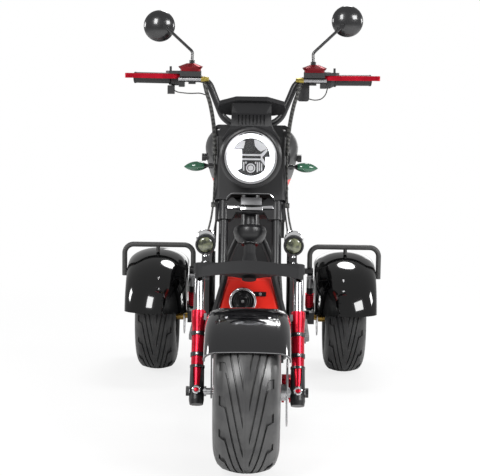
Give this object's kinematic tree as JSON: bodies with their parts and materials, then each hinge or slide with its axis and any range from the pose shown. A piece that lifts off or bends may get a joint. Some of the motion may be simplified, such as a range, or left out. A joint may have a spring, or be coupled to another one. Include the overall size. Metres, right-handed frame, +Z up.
{
  "type": "motorized trike",
  "caption": "Electric chopper trike: one fat steered front wheel, two driven rear wheels under round fenders, high bars, round headlight.",
  "frame": {"origin": "on the ground, below the middle of the overall length and width", "axes": "+Z up, -Y the way it drives, +X its left side"},
  "size_m": [0.969, 1.8999, 1.3754],
  "materials": {
    "bare_steel": "brushed",
    "black_plastic": "matte",
    "chrome": "polished",
    "glass": "clear",
    "gloss_black": "gloss",
    "grey_cast": "satin",
    "leather": "satin",
    "mirror": "polished",
    "red_anodised": "satin",
    "red_paint": "gloss",
    "red_plastic": "gloss",
    "rubber": "matte",
    "satin_black": "satin",
    "shiny_plastic": "gloss",
    "signal_plastic": "gloss",
    "tyre": "matte",
    "white_light": "gloss"
  },
  "bodies": {
    "frame": {"main_frame": "satin_black", "battery_box": "black_plastic", "front_panel": "red_paint", "body_covers": "black_plastic", "tank": "gloss_black", "tank_base": "red_paint", "seat": "leather", "backrest_hoop": "satin_black", "backrest_pad": "leather", "tail_cover": "black_plastic", "tail_lamp": "red_plastic", "swing_arm": "satin_black", "drive_motor": "grey_cast", "axle_ends": "bare_steel", "shock_bodies": "grey_cast", "shock_springs": "red_anodised", "rear_fenders": "gloss_black", "fender_rails": "satin_black", "rear_calipers": "satin_black", "footboards": "grey_cast", "horn": "shiny_plastic", "plate_arm": "satin_black", "rear_signals": "signal_plastic"},
    "steering": {"fork_stanchions": "chrome", "fork_legs": "red_anodised", "fork_feet": "grey_cast", "front_axle": "bare_steel", "fork_crown": "satin_black", "crown_cover": "satin_black", "yokes": "satin_black", "handlebar": "satin_black", "grips": "rubber", "levers": "red_anodised", "controls": "black_plastic", "brake_fittings": "bare_steel", "reservoir_caps": "red_anodised", "mirrors": "shiny_plastic", "mirror_glass": "mirror", "headlight_bowl": "shiny_plastic", "headlight_ring": "chrome", "headlight_drl": "white_light", "headlight_core": "chrome", "lamp_lenses": "glass", "aux_lamps": "shiny_plastic", "cowl": "black_plastic", "fork_shroud": "black_plastic", "front_signals": "signal_plastic", "front_fender": "gloss_black", "fender_stays": "grey_cast", "front_caliper": "red_anodised", "hoses": "rubber"},
    "front_wheel": {"front_tyre": "tyre", "front_rim": "satin_black", "front_disc": "bare_steel"},
    "rear_wheel_right": {"rear_tyre_right": "tyre", "rear_rim_right": "satin_black", "rear_disc_right": "bare_steel"},
    "rear_wheel_left": {"rear_tyre_left": "tyre", "rear_rim_left": "satin_black", "rear_disc_left": "bare_steel"}
  },
  "joints": [
    {"name": "steering_turn", "type": "hinge", "parent": "frame", "child": "steering", "pos_m": [0, -0.78255, 0], "axis": [0, 0.4384, 0.8988], "range_deg": [-38, 38]},
    {"name": "front_wheel_spin", "type": "hinge", "parent": "steering", "child": "front_wheel", "pos_m": [0, -0.71, 0.24], "axis": [1, 0, 0], "continuous": true},
    {"name": "rear_wheel_right_spin", "type": "hinge", "parent": "frame", "child": "rear_wheel_right", "pos_m": [-0.35325, 0.62, 0.203], "axis": [1, 0, 0], "continuous": true},
    {"name": "rear_wheel_left_spin", "type": "hinge", "parent": "frame", "child": "rear_wheel_left", "pos_m": [0.35325, 0.62, 0.203], "axis": [1, 0, 0], "continuous": true}
  ]
}
